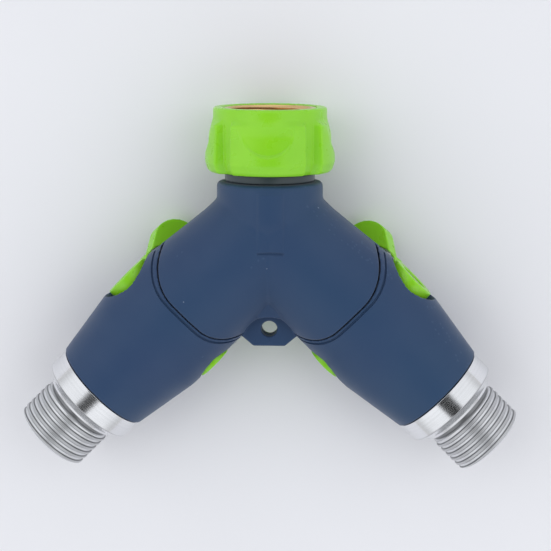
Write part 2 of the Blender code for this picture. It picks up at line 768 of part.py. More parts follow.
def lever_outline(side):
    """The bail's shape across the leg. The outer arm steps out past the sleeve, and the inner arm stays inside it."""
    bar = LEVER_BAR_OUTER
    corners = [
        (LEVER_OUTER_ROOT, -0.0020, 0),
        (LEVER_OUTER_ROOT, 0.0110, 0),
        (LEVER_OUTER_ARM, 0.0198, 0),
        (LEVER_OUTER_ARM, bar, 0.0090),
        (-LEVER_INNER_ARM, bar, 0.0080),
        (-LEVER_INNER_ARM, -0.0020, 0),
        (-LEVER_ARM_FACE, -0.0020, 0),
        (-LEVER_ARM_FACE, 0.0215, 0),
        (-0.0155, 0.0240, 0),
        (-0.0080, LEVER_BAR_INNER, 0),
        (0.0080, LEVER_BAR_INNER, 0),
        (0.0146, 0.0233, 0),
        (0.0181, 0.0200, 0),
        (0.0205, 0.0140, 0),
        (0.0215, 0.0092, 0),
        (DISC_INNER, 0.0079, 0),
        (DISC_INNER, -0.0020, 0),
    ]
    return [(side * x, y) for x, y in rounded(corners, steps=7)]


def lever(word, side, leg, hub):
    """The green bail lever that straddles the leg. It turns about the two discs on its hub."""
    name = f"{word}_lever"
    mesh = plate_mesh(name, lever_outline(side), LEVER_THICKNESS)
    made = placed(name, mesh, leg, location=(0, 0, HUB), rotation=LEVER_TURN, finish="lime_plastic")
    chamfer_edges(made, 0.0008)
    for face, radius in ((-1, INNER_DISC_RADIUS), (1, OUTER_DISC_RADIUS)):
        low, high = sorted((face * DISC_INNER, face * DISC_OUTER))
        disc = rod(f"{name}_disc_{face}", radius, low, high, hub, steps=32)
        chamfer_edges(disc, 0.0005, angle=60)
        combine(made, disc, "UNION")
    combine(made, rod(f"{name}_bore", STEM_RADIUS + GAP, -0.03, 0.03, hub))
    for face in (-1, 1):
        low, high = sorted((face * 0.0188, face * 0.0300))
        combine(made, rod(f"{name}_head_room_{face}", 0.0047, low, high, hub))
    pocket = block_mesh(f"{name}_pocket", (-0.0085, 0.0255, -0.0012), (0.0085, 0.0289, 0.0012))
    combine(made, placed(pocket.name, pocket, made))


def arm_land(side, leg):
    """The flat that the lever's inner arm sweeps over on the underside of the shell."""
    low, high = sorted((-side * ARM_LAND, -side * 0.03))
    name = f"{leg.name}_arm_land"
    mesh = block_mesh(name, (low, -ARM_SWEEP, -0.045), (high, 0.045, ARM_SWEEP))
    return placed(name, mesh, leg, location=(0, 0, HUB), rotation=LEVER_TURN)


clear_scene()
parts = new_collection("hose_splitter")
cutters = new_collection("cutters")

junction = empty("junction", None, JUNCTION)
inlet = empty("inlet_axis", junction, (0, 0, 0), (math.pi / 2, 0, math.pi))
swivel = empty("swivel_axis", inlet, (0, 0, 0))
legs = {}
hubs = {}
for turn, word in ((-1, "left"), (1, "right")):
    legs[turn] = empty(f"{word}_leg", junction, (0, 0, 0), (math.pi / 2, 0, turn * LEG_ANGLE))
    hubs[turn] = empty(f"{word}_hub", legs[turn], (0, 0, HUB), (0, turn * math.pi / 2, 0))
leg_rooms = {turn: leg_room(leg) for turn, leg in legs.items()}
recess_section = stepped_rod(INNER_RECESS_RADIUS, OUTER_RECESS_RADIUS, 0.03)
hub_recesses = {turn: turned(f"{hub.name}_recess", recess_section, hub, steps=30) for turn, hub in hubs.items()}
arm_lands = {turn: arm_land(turn, leg) for turn, leg in legs.items()}
screw_rooms = cover_screws()

manifold()
covers()
inlet_swivel()
filter_screen()
ring("swivel_collar", 0.0096, COLLAR_RADIUS, COVER_TOP + GAP, COLLAR_TOP, inlet, steps=32, finish="dark_plastic")
ring("swivel_retaining_ring", 0.0087, 0.0115, 0.0216, 0.0224, inlet, finish="stainless_steel")
o_ring("swivel_o_ring", 0.0084, 0.0007, 0.01895, inlet, "black_rubber")
for turn, word in ((-1, "left"), (1, "right")):
    leg_sleeve(word, turn, legs[turn])
    outlet_tailpiece(word, turn, legs[turn])
    ball_valve(word, legs[turn], hubs[turn])
    lever(word, turn, legs[turn], hubs[turn])
    pivot_hardware(word, hubs[turn])
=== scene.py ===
"""The looks of the hose splitter: soft-touch navy shell, lime grip and levers, turned aluminium outlets.

Pieces are built in the same local frames as the CAD: Z runs out along an axis from the junction of the three
axes and Y points up. Lengths in the SHAPE section are in millimetres.
"""

import json
import math

import bmesh
import bpy
import numpy as np
from mathutils import Euler, Matrix, Vector


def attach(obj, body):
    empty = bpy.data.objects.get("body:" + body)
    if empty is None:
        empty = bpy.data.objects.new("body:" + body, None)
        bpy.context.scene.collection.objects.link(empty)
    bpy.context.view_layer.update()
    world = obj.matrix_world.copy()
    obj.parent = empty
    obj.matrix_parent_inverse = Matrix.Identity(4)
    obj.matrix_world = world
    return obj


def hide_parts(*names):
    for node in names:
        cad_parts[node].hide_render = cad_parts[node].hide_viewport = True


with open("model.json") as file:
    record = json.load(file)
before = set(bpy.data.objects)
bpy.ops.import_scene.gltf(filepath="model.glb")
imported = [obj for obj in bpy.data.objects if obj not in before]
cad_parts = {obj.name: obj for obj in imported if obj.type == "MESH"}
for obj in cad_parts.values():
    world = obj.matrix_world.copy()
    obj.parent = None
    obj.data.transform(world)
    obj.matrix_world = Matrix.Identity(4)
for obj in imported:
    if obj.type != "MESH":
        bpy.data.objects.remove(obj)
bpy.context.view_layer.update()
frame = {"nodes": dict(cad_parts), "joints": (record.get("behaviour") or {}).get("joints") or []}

MM = 0.001
# Points closer than this, in metres, become one
WELD = 1e-7
BODY = "splitter_body"
SWIVEL = "inlet_swivel"
SIDES = {"left": -1, "right": 1}

# ---------------------------------------------------------------------------------------------------- SHAPE

# The radius that stands for a point on the axis in a turned section
ON_AXIS = 0.0001
GAP = 0.3
SLACK = 0.4
LEG_TURN = math.radians(45)
HUB = 47.5
NECK_RADIUS = 17.7
NECK_TOP = 13.7
BACK_HALF_HEIGHT = 18.8
FRONT_HALF_HEIGHT = 13.8
SLEEVE_HALF_HEIGHT = 18.0
SHELL_FULLNESS = 2.1
LEG_HALF_WIDTH = 21.3
INNER_HALF_WIDTH = 21.0
OUTER_WIDTH_AT = (0, 12, 20, 32, 42)
OUTER_WIDTHS = (17.8, 18.0, 18.8, 20.2, LEG_HALF_WIDTH)
LEG_END_RADIUS = 17.8
TAPER_START = 57.5
SLEEVE_START = 28.0
SLEEVE_END = 80.3
COVER_END = 40.1
FRONT_COVER_END = 32.2
OUTER_CORNER = 17.0
INNER_CORNER = 13.0
BEAD_WIDTH = 1.3
GROOVE_RADIUS = 0.5
GROOVE_SINK = 0.22
PANEL_HEIGHT = 0.25
PANEL_GROOVE_DEPTH = 0.6
MANIFOLD_LEG_RADIUS = 10.5
CHAMBER_RADIUS = 14.5
CHAMBER_START = 33.0
OUTER_RECESS_RADIUS = 10.0
INNER_RECESS_RADIUS = 6.9
LEVER_TURN = -math.radians(130)
LEVER_HALF_THICKNESS = 3.0
ARM_LAND = 17.0
LEVER_BORE_RADIUS = 3.5
OUTER_DISC_RADIUS = 8.0
INNER_DISC_RADIUS = 6.3
DISC_INNER = 16.4
DISC_OUTER = 21.3
HEAD_SEAT = 18.8
HEAD_ROOM_RADIUS = 4.7
LUG_HALF_THICKNESS = 4
LUG_HOLE = (0.0, -36.1)
LUG_HOLE_RADIUS = 2.7
LUG_SEAT = (0.0, -40.3)
LUG_SEAT_RADIUS = 9.0
LUG_SEAT_HEIGHT = 3.7
WEB_CENTRE = -24.0
SCREW_SPOTS = {
    "upper_left": (-13.6, 7.0),
    "upper_right": (13.6, 7.0),
    "lower_left": (-7.1, -29.7),
    "lower_right": (7.1, -29.7),
}
SCREW_ROOM_RADIUS = 2.6
SCREW_SEAT = -6.9
GRIP_LOBE_RADIUS = 21.4
LOBE_RISE = 2.75
LOBE_DRAFT = 0.045
FLUTE_RADIUS = 9.0
FLUTE_CENTRE = 32.4
FLUTE_DEPTH = 0.95
THREAD_PITCH = 25.4 / 11.5
MALE_ROOT = 12.75
MALE_CREST = 13.5
FEMALE_ROOT = 13.65
FEMALE_CREST = 12.4
BALL_RADIUS = 9
BALL_BORE_RADIUS = 6.2
SHELL_GRAIN = 0.36
BACK_GRAIN = 0.32
LEVER_GRAIN = 0.26
SHARP_EDGE = math.radians(35)
GROOVE_EDGE = math.radians(40)

# The junction of the axes lies level with the lever pivots, which sit on legs at 45 degrees
pivots = {joint["child"]: Vector(joint["pos_m"]) for joint in frame["joints"] if "lever" in joint["name"]}
pivot = pivots["right_handle"]
JUNCTION = Vector((0, pivot.y + abs(pivot.x), pivot.z))


def axis_frame(turn):
    """The local frame of an axis that leaves the junction at this turn, as a matrix in metres."""
    return Matrix.Translation(JUNCTION) @ Euler((math.pi / 2, 0, turn)).to_matrix().to_4x4()


LEVEL = Matrix.Translation(JUNCTION)
INLET = axis_frame(math.pi)
LEGS = {side: axis_frame(side * LEG_TURN) for side in SIDES.values()}
HUBS = {
    side: leg @ Matrix.Translation((0, 0, HUB * MM)) @ Matrix.Rotation(side * math.pi / 2, 4, "Y")
    for side, leg in LEGS.items()
}


def spot_frame(x, y):
    """The frame over a spot in the plane of the axes, in millimetres from the junction."""
    return LEVEL @ Matrix.Translation((x * MM, y * MM, 0))


# ----------------------------------------------------------------------------------------------- MESH TOOLS


def in_scene(name, data):
    """A new object that holds this data, linked into the scene."""
    made = bpy.data.objects.new(name, data)
    bpy.context.scene.collection.objects.link(made)
    return made


def mend(mesh):
    """Welds points that lie on each other, and turns the faces outwards."""
    bm = bmesh.new()
    bm.from_mesh(mesh)
    bmesh.ops.remove_doubles(bm, verts=bm.verts, dist=WELD)
    bmesh.ops.recalc_face_normals(bm, faces=bm.faces)
    bm.to_mesh(mesh)
    bm.free()


def mesh_object(name, points, faces, place):
    """A mesh object at the origin, from points in millimetres in the local frame place."""
    points = np.asarray(points, float) * MM
    turned_points = points @ np.array(place.to_3x3()).T + np.array(place.translation)
    mesh = bpy.data.meshes.new(name)
    mesh.from_pydata(turned_points.tolist(), [], faces)
    mend(mesh)
    mesh.shade_smooth()
    return in_scene(name, mesh)


def rounded(corners, steps=5):
    """A closed outline through the corners. Each is (x, y, radius), and a radius above 0 makes an arc."""
    outline = []
    for i, (x, y, radius) in enumerate(corners):
        if radius == 0:
            outline.append((x, y))
            continue
        corner = Vector((x, y))
        before = (Vector(corners[i - 1][:2]) - corner).normalized()
        after = (Vector(corners[(i + 1) % len(corners)][:2]) - corner).normalized()
        half = before.angle(after) / 2
        centre = corner + (before + after).normalized() * radius / math.sin(half)
        first = corner + before * radius / math.tan(half) - centre
        last = corner + after * radius / math.tan(half) - centre
        start = math.atan2(first.y, first.x)
        sweep = math.remainder(math.atan2(last.y, last.x) - start, math.tau)
        for step in range(steps + 1):
            angle = start + sweep * step / steps
            outline.append((centre.x + radius * math.cos(angle), centre.y + radius * math.sin(angle)))
    return outline


def filled_in(outline, longest):
    """The closed outline with points added, so that no edge is longer than this."""
    dense = []
    for (x, y), (next_x, next_y) in zip(outline, outline[1:] + outline[:1]):
        count = max(1, math.ceil(math.hypot(next_x - x, next_y - y) / longest))
        for step in range(count):
            dense.append((x + (next_x - x) * step / count, y + (next_y - y) * step / count))
    return dense


def turned(name, section, place, segments=128, shape=None):
    """A solid turned about local Z from a closed section of (radius, height).

    shape(radius, height, angle), on arrays, returns the radius of each point where the piece isn't round.
    """
    section = np.array(section, float)
    angles = np.arange(segments) * math.tau / segments
    radius, angle = np.meshgrid(section[:, 0], angles, indexing="ij")
    height = np.repeat(section[:, 1:2], segments, axis=1)
    if shape:
        radius = shape(radius, height, angle)
    points = np.stack([radius * np.cos(angle), radius * np.sin(angle), height], axis=-1).reshape(-1, 3)
    rows = len(section)
    faces = []
    for row in range(rows):
        here, there = row * segments, (row + 1) % rows * segments
        for column in range(segments):
            after = (column + 1) % segments
            faces.append((here + column, here + after, there + after, there + column))
    return mesh_object(name, points, faces, place)


def rod(name, radius, low, high, place, segments=96):
    """A cutter: a cylinder along local Z."""
    section = [(ON_AXIS, low), (radius, low), (radius, high), (ON_AXIS, high)]
    return turned(name, section, place, segments)


def block(name, low, high, place):
    """A cutter: a box between two corners."""
    corners = [(x, y, z) for x in (low[0], high[0]) for y in (low[1], high[1]) for z in (low[2], high[2])]
    faces = [(0, 1, 3, 2), (4, 6, 7, 5), (0, 4, 5, 1), (2, 3, 7, 6), (0, 2, 6, 4), (1, 5, 7, 3)]
    return mesh_object(name, corners, faces, place)


def plate(name, outline, low, high, place):
    """The outline in local XY, thickened from low to high along Z."""
    count = len(outline)
    points = [(x, y, low) for x, y in outline] + [(x, y, high) for x, y in outline]
    faces = [tuple(range(count)), tuple(range(count, 2 * count))]
    faces += [(i, (i + 1) % count, count + (i + 1) % count, count + i) for i in range(count)]
    return mesh_object(name, points, faces, place)


def loft(name, sections, place, segments=144):
    """A closed loft along Z through (height, low x, high x, half height, fullness).

    A fullness of 2 is an ellipse, and more is squarer.
    """
    points = []
    for height, low, high, half, fullness in sections:
        for i in range(segments):
            angle = math.tau * (i + 0.5) / segments
            x = math.copysign(abs(math.cos(angle)) ** (2 / fullness), math.cos(angle))
            y = math.copysign(abs(math.sin(angle)) ** (2 / fullness), math.sin(angle))
            points.append(((low + high) / 2 + x * (high - low) / 2, y * half, height))
    faces = []
    for row in range(len(sections) - 1):
        for i in range(segments):
            after = (i + 1) % segments
            here, there = row * segments, (row + 1) * segments
            faces.append((here + i, here + after, there + after, there + i))
    faces.append(tuple(range(segments)))
    faces.append(tuple(range((len(sections) - 1) * segments, len(sections) * segments)))
    return mesh_object(name, points, faces, place)


def bake(obj):
    """Applies the object's modifiers."""
    graph = bpy.context.evaluated_depsgraph_get()
    mesh = bpy.data.meshes.new_from_object(obj.evaluated_get(graph))
    obj.modifiers.clear()
    obj.data = mesh
    return obj


def combine(obj, others, operation="DIFFERENCE"):
    """Cuts, joins or intersects obj with the others at once, and leaves them in place."""
    for other in others:
        step = obj.modifiers.new(other.name, "BOOLEAN")
        step.operation = operation
        step.solver = "MANIFOLD"
        step.object = other
    return bake(obj)


def discard(*objects):
    """Removes cutters and other helpers."""
    for obj in objects:
        bpy.data.objects.remove(obj)


def moulded(obj, grain, passes):
    """Remeshes evenly at this grain and smooths, which rounds every edge as a moulding's edges are."""
    step = obj.modifiers.new("even", "REMESH")
    step.mode = "VOXEL"
    step.voxel_size = grain * MM
    step.use_smooth_shade = True
    smooth = obj.modifiers.new("soft", "SMOOTH")
    smooth.factor = 0.5
    smooth.iterations = passes
    return bake(obj)


def ease(value, low, high):
    """0 below low, 1 above high and a smooth step between them."""
    t = np.clip((value - low) / (high - low), 0, 1)
    return t * t * (3 - 2 * t)


def band(value, rise, fall):
    """1 between two smooth steps, up across the two limits of rise and down across those of fall."""
    return ease(value, *rise) * ease(-value, -fall[1], -fall[0])


# ------------------------------------------------------------------------------------------------- SHELL


def leg_edges(distance, side):
    """The shell's two edges in X at this distance along a leg, the lower first."""
    outer = float(np.interp(distance, OUTER_WIDTH_AT, OUTER_WIDTHS))
    inner = INNER_HALF_WIDTH if distance < HUB else LEG_HALF_WIDTH
    return sorted((side * outer, -side * inner))


def tongue(name, side, grow, low, high):
    """The back cover's rounded end over one leg in plan, as a prism through heights low to high."""
    half = LEG_HALF_WIDTH + grow
    end = COVER_END + grow
    corners = [
        (side * half, -30, 0),
        (side * half, end, OUTER_CORNER + grow),
        (-side * half, end, INNER_CORNER + grow),
        (-side * half, -30, 0),
    ]
    outline = rounded(corners, steps=24)
    place = LEGS[side] @ Matrix.Rotation(math.pi / 2, 4, "X")
    return plate(name, outline, -high, -low, place)


def cover_form(name, half_height, fullness, low_radius):
    """The smooth outside of the covers over the junction, where the neck and both legs flow together."""
    corners = [(ON_AXIS, -14, 0), (low_radius, -14, 2), (NECK_RADIUS, 1.2, 3)]
    corners += [(NECK_RADIUS, NECK_TOP, 1.3), (ON_AXIS, NECK_TOP, 0)]
    form = turned(name, rounded(corners), INLET)
    blocks = []
    for side, leg in LEGS.items():
        sections = []
        for distance in range(0, 46, 3):
            drop = 2.4 * (1 - min(distance / 20, 1)) ** 2
            sections.append((distance, *leg_edges(distance, side), half_height - drop, fullness))
        blocks.append(loft(f"{name}_leg", sections, leg))
    combine(form, blocks, "UNION")
    discard(*blocks)
    return moulded(form, 0.5, 14)


def lug_outline():
    """The hanging lug in plan, with its end corners cut off."""
    corners = [(-5.3, -42, 1.2), (5.3, -42, 1.2), (9.4, -38.5, 0)]
    corners += [(5.3, -26, 0), (-5.3, -26, 0), (-9.4, -38.5, 0)]
    return rounded(corners)


def lever_frame(side):
    """The frame of a lever at rest: X across the leg, Y out along the lever, from the middle of the hub."""
    return LEGS[side] @ Matrix.Translation((0, 0, HUB * MM)) @ Matrix.Rotation(LEVER_TURN, 4, "X")


def hub_rooms(side):
    """The round recesses for a lever's discs, and the flat that its inner arm sweeps over."""
    section = [(ON_AXIS, -30), (INNER_RECESS_RADIUS, -30), (INNER_RECESS_RADIUS, 0)]
    section += [(OUTER_RECESS_RADIUS, 0), (OUTER_RECESS_RADIUS, 30), (ON_AXIS, 30)]
    low, high = sorted((-side * ARM_LAND, -side * 30))
    sweep = LEVER_HALF_THICKNESS + 2 * GAP
    land = block("arm_land", (low, -sweep, -45), (high, 45, sweep), lever_frame(side))
    return [turned("hub_room", section, HUBS[side]), land]


def leg_rooms():
    """The hollows for the manifold's legs, and the rooms for the levers at each hub."""
    rooms = []
    for side, leg in LEGS.items():
        rooms.append(rod("tube_room", MANIFOLD_LEG_RADIUS + SLACK, -6, CHAMBER_START, leg))
        rooms.append(rod("chamber_room", CHAMBER_RADIUS + SLACK, CHAMBER_START - SLACK, 90, leg))
        rooms += hub_rooms(side)
    return rooms


def screw_rooms():
    """The counterbores that the covers' screw heads sit in."""
    places = [spot_frame(x, y) for x, y in SCREW_SPOTS.values()]
    return [rod("screw_room", SCREW_ROOM_RADIUS, -30, SCREW_SEAT, place, 48) for place in places]


def lug_parts():
    """The lug that both covers carry, its hole, and the room for the manifold's neck."""
    lug = plate("lug", lug_outline(), -LUG_HALF_THICKNESS, LUG_HALF_THICKNESS, LEVEL)
    hole = rod("hole", LUG_HOLE_RADIUS, -20, 20, spot_frame(*LUG_HOLE))
    neck_room = rod("neck_room", MANIFOLD_LEG_RADIUS + SLACK, -10, 30, INLET)
    return lug, hole, neck_room


def raise_panel(obj):
    """The faint raised panel along the back cover's spine, and the groove across its end."""
    mesh = obj.data
    count = len(mesh.vertices)
    points = np.empty(count * 3)
    normals = np.empty(count * 3)
    mesh.vertices.foreach_get("co", points)
    mesh.vertex_normals.foreach_get("vector", normals)
    points = points.reshape(-1, 3)
    normals = normals.reshape(-1, 3)
    local = (points - np.array(JUNCTION)) / MM
    across = band(local[:, 0], (-3.9, -2.9), (4.6, 5.4))
    panel = band(local[:, 1], (-8.4, -8.0), (10.4, 11.8))
    groove = band(local[:, 1], (-8.9, -8.5), (-8.3, -7.9))
    on_top = local[:, 2] > 10
    height = (PANEL_HEIGHT * panel - PANEL_GROOVE_DEPTH * groove) * across * on_top
    points += normals * height[:, None] * MM
    mesh.vertices.foreach_set("co", points.reshape(-1))
    mesh.update()


def back_cover():
    """The upper cover: its two tongues end in round corners, and the lug hangs from the web between them."""
    cover = cover_form("back_cover_shell", BACK_HALF_HEIGHT, SHELL_FULLNESS, 14.8)
    tongues = [tongue("tongue", side, 0, -40, 40) for side in LEGS]
    combine(tongues[0], tongues[1:], "UNION")
    lug, hole, neck_room = lug_parts()
    seat = rod("seat", LUG_SEAT_RADIUS, LUG_SEAT_HEIGHT, 30, spot_frame(*LUG_SEAT))
    below = block("below", (-90, -90, -90), (90, 90, GAP / 2), LEVEL)
    web_section = rounded([(ON_AXIS, -4, 0), (9, -4, 0.5), (9, 8, 2.5), (ON_AXIS, 10, 0)])
    web = turned("web", web_section, spot_frame(0, WEB_CENTRE))
    rooms = leg_rooms() + screw_rooms()
    combine(cover, tongues[:1], "INTERSECT")
    combine(cover, [lug, web], "UNION")
    combine(cover, [seat, hole, neck_room, below, *rooms])
    discard(*tongues, lug, web, neck_room, seat, hole, below, *rooms)
    moulded(cover, BACK_GRAIN, 3)
    raise_panel(cover)
    return cover


def front_cover():
    """The lower cover, which ends square on each leg."""
    cover = cover_form("front_cover_shell", FRONT_HALF_HEIGHT, 3, 10.5)
    lug, hole, neck_room = lug_parts()
    above = block("above", (-90, -90, -GAP / 2), (90, 90, 90), LEVEL)
    reach = LEG_HALF_WIDTH + GAP
    ends = [block("end", (-reach, -30, FRONT_COVER_END), (reach, 30, 60), leg) for leg in LEGS.values()]
    rooms = leg_rooms() + screw_rooms()
    combine(cover, [lug], "UNION")
    combine(cover, [hole, neck_room, above, *ends, *rooms])
    discard(lug, neck_room, hole, above, *ends, *rooms)
    return moulded(cover, SHELL_GRAIN, 3)


def bead_groove(side):
    """A cutter: a thin tube laid on the sleeve a bead's width from the cover's edge."""
    grow = GAP + BEAD_WIDTH
    half = LEG_HALF_WIDTH + grow
    corners = [
        (side * half, 20, 0),
        (side * half, COVER_END + grow, OUTER_CORNER - 0.2),
        (-side * half, COVER_END + grow, INNER_CORNER + grow),
        (-side * half, 20, 0),
    ]
    path = []
    for x, z in filled_in(rounded(corners, steps=30)[1:-1], 0.8):
        low, high = leg_edges(z, side)
        reach = (high - low) / 2
        across = (x - (low + high) / 2) / reach
        if abs(across) >= 1:
            continue
        rise = (1 - abs(across) ** SHELL_FULLNESS) ** (1 / SHELL_FULLNESS)
        slope = SHELL_FULLNESS - 1
        sideways = math.copysign(abs(across) ** slope, across) / reach
        outward = Vector((sideways, rise**slope / SLEEVE_HALF_HEIGHT)).normalized()
        y = SLEEVE_HALF_HEIGHT * rise
        path.append((x - GROOVE_SINK * outward.x, y - GROOVE_SINK * outward.y, z))
    curve = bpy.data.curves.new("groove", "CURVE")
    curve.dimensions = "3D"
    curve.bevel_depth = GROOVE_RADIUS * MM
    curve.bevel_resolution = 2
    curve.use_fill_caps = True
    spline = curve.splines.new("POLY")
    spline.points.add(len(path) - 1)
    for point, (x, y, z) in zip(spline.points, path):
        point.co = (x * MM, y * MM, z * MM, 1)
    tube = in_scene("groove", curve)
    graph = bpy.context.evaluated_depsgraph_get()
    mesh = bpy.data.meshes.new_from_object(tube.evaluated_get(graph))
    mesh.transform(LEGS[side])
    mend(mesh)
    discard(tube)
    return in_scene("groove", mesh)


def leg_sleeve(word, side):
    """The sleeve over a leg, which tapers to a circle at the outlet."""
    sections = []
    steps = 26
    for i in range(steps + 1):
        distance = SLEEVE_START + (SLEEVE_END - SLEEVE_START) * i / steps
        taper = max(0, (distance - TAPER_START) / (SLEEVE_END - TAPER_START))
        edges = leg_edges(distance, side)
        low, high = (x * (1 - taper) + math.copysign(LEG_END_RADIUS, x) * taper for x in edges)
        half = SLEEVE_HALF_HEIGHT * (1 - taper) + LEG_END_RADIUS * taper
        sections.append((distance, low, high, half, SHELL_FULLNESS - 0.1 * taper))
    leg = LEGS[side]
    sleeve = loft(f"{word}_sleeve_skin", sections, leg)
    end = tongue("end", side, 1.5 * GAP, GAP / 2, 40)
    front = block("front", (-30, -30, 0), (30, GAP / 2, FRONT_COVER_END + GAP), leg)
    rooms = [rod("chamber_room", CHAMBER_RADIUS + SLACK, 0, 90, leg), *hub_rooms(side)]
    combine(sleeve, [end, front, *rooms])
    discard(end, front, *rooms)
    moulded(sleeve, SHELL_GRAIN, 3)
    groove = bead_groove(side)
    combine(sleeve, [groove])
    discard(groove)
    sleeve.data.set_sharp_from_angle(angle=GROOVE_EDGE)
    return sleeve


# --------------------------------------------------------------------------------------------- INLET END


def swivel_collar():
    """The dark ring between the shell and the grip."""
    corners = [(9.6, 14.0, 0.2), (15, 14.0, 0.25), (15, 16.5, 0.35), (9.6, 16.5, 0.2)]
    return turned("collar_ring", rounded(corners), INLET)


def grip_radius(radius, height, angle):
    """Four broad lobes with a thumb flute in each, on the outside of the grip."""
    outside = ease(radius, 16.6, 17.2)
    quarter = math.pi / 2
    off_centre = np.abs(np.remainder(angle + quarter / 2, quarter) - quarter / 2)
    across = GRIP_LOBE_RADIUS * off_centre
    lobe = ease(-off_centre, -math.radians(40), -math.radians(34.5))
    # A lobe fades out towards the mouth, more gently at its middle than at its sides
    middle = np.clip(1 - (across / 12) ** 2, 0, 1)
    edge_top = ease(-height, -34.9, -32.6)
    middle_top = ease(-height, -35.8, -29.0)
    top = edge_top + (middle_top - edge_top) * middle
    rise = (LOBE_RISE - LOBE_DRAFT * (height - 20)) * lobe * top
    # The flute's lower edge is an arc
    square = FLUTE_RADIUS**2
    above_arc = height - (FLUTE_CENTRE - np.sqrt(np.clip(square - across**2, 0, square)))
    flute = ease(above_arc, -0.3, 0.3) * np.clip(1 - (across / FLUTE_RADIUS) ** 2, 0, 1)
    return radius + outside * (rise - FLUTE_DEPTH * flute * middle_top)


def swivel_grip():
    """The lobed plastic grip round the nut."""
    corners = [
        (15.7, 16.7, 0.3),
        (16.8, 16.7, 1.1),
        (18.0, 17.9, 2.0),
        (18.9, 20.4, 3.0),
        (18.9, 38.3, 0.9),
        (15.7, 38.3, 0.5),
    ]
    section = filled_in(rounded(corners, steps=6), 0.3)
    return turned("grip_moulding", section, INLET, 480, grip_radius)


def threaded(inner, outer, low, high, fade):
    """A shape function that raises a helical ridge from radius inner to outer between two heights."""

    def shape(radius, height, angle):
        on_wall = np.abs(radius - inner) < 0.02
        phase = np.remainder((height - low) / THREAD_PITCH - angle / math.tau, 1)
        ridge = ease(0.5 - np.abs(phase - 0.5), 0.11, 0.38)
        ends = band(height, (low, low + fade), (high - fade, high))
        return radius + on_wall * (outer - inner) * ridge * ends

    return shape


def swivel_nut():
    """The brass nut, with the female hose thread."""
    corners = [
        (9.5, 17.0, 0.2),
        (15.4, 17.0, 0.4),
        (15.4, 38.0, 0.3),
        (13.95, 38.0, 0.2),
        (FEMALE_ROOT, 37.4, 0.1),
        (FEMALE_ROOT, 25.8, 0.2),
        (12.5, 25.8, 0.2),
        (12.5, 20.8, 0.2),
        (9.5, 20.8, 0.2),
    ]
    section = filled_in(rounded(corners, steps=3), 0.16)
    shape = threaded(FEMALE_ROOT, FEMALE_CREST, 26.0, 37.6, 1.4)
    return turned("nut_turning", section, INLET, 160, shape)


def inlet_washer():
    """The flat rubber washer at the bottom of the nut."""
    corners = [(8.2, 24.8, 0.4), (12.1, 24.8, 0.4), (12.1, 27.4, 0.5), (8.2, 27.4, 0.5)]
    return turned("washer_ring", rounded(corners), INLET, 96)


def filter_screen():
    """A strainer disc with a hole in the middle, three rings of holes and a raised rim."""
    rim = [(ON_AXIS, 25.0, 0), (7.9, 25.0, 0.15), (7.9, 26.0, 0.2), (7.2, 26.0, 0.2), (7.0, 25.6, 0.2)]
    screen = turned("strainer", rounded(rim + [(ON_AXIS, 25.6, 0)], 3), INLET, 96)
    holes = []
    for radius, count in ((0, 1), (1.7, 6), (3.4, 12), (5.2, 18)):
        for i in range(count):
            angle = math.tau * i / count
            across, up = radius * math.cos(angle) * MM, radius * math.sin(angle) * MM
            place = INLET @ Matrix.Translation((across, up, 0))
            holes.append(rod("strainer_hole", 0.6, 24, 27, place, 16))
    combine(screen, holes)
    discard(*holes)
    screen.data.set_sharp_from_angle(angle=SHARP_EDGE)
    return screen


# ---------------------------------------------------------------------------------------------- OUTLETS


def outlet_tailpiece(word, side):
    """The turned outlet: spigot in the chamber, shoulder, relief groove and male hose thread."""
    corners = [
        (8.5, 56.2, 0.3),
        (12.1, 56.2, 0.3),
        (12.1, 80.3, 0.2),
        (14.5, 80.3, 0.2),
        (14.5, 80.6, 0),
        (17.4, 80.6, 0.25),
        (17.4, 87.4, 0.2),
        (14.4, 89.8, 0.3),
        (14.0, 90.7, 0.3),
        (12.0, 91.0, 0.3),
        (12.0, 92.2, 0.3),
        (MALE_ROOT, 92.9, 0.1),
        (MALE_ROOT, 105.8, 0.2),
        (11.6, 106.5, 0.15),
        (9.3, 106.5, 0.3),
        (8.5, 105.8, 0.3),
    ]
    section = filled_in(rounded(corners, steps=4), 0.11)
    shape = threaded(MALE_ROOT, MALE_CREST, 92.6, 106.2, 1.0)
    return turned(f"{word}_outlet_turning", section, LEGS[side], 224, shape)


# ----------------------------------------------------------------------------------------------- LEVERS


def lever_outline(side):
    """The outer arm steps out past the sleeve, and the inner arm stays close beside it."""
    corners = [
        (20.4, -2, 0),
        (20.4, 11.0, 4),
        (24.8, 19.8, 6),
        (24.8, 30.4, 9),
        (-20.8, 30.4, 8),
        (-20.8, -2, 0),
        (-17.3, -2, 0),
        (-17.3, 21.5, 2),
        (-15.5, 24.0, 3),
        (-8.0, 27.0, 8),
        (8.0, 27.0, 8),
        (14.6, 23.3, 6),
        (18.1, 20.0, 4),
        (20.5, 14.0, 4),
        (21.5, 9.2, 1),
        (DISC_INNER, 7.9, 0),
        (DISC_INNER, -2, 0),
    ]
    return [(side * x, y) for x, y in rounded(corners, steps=12)]


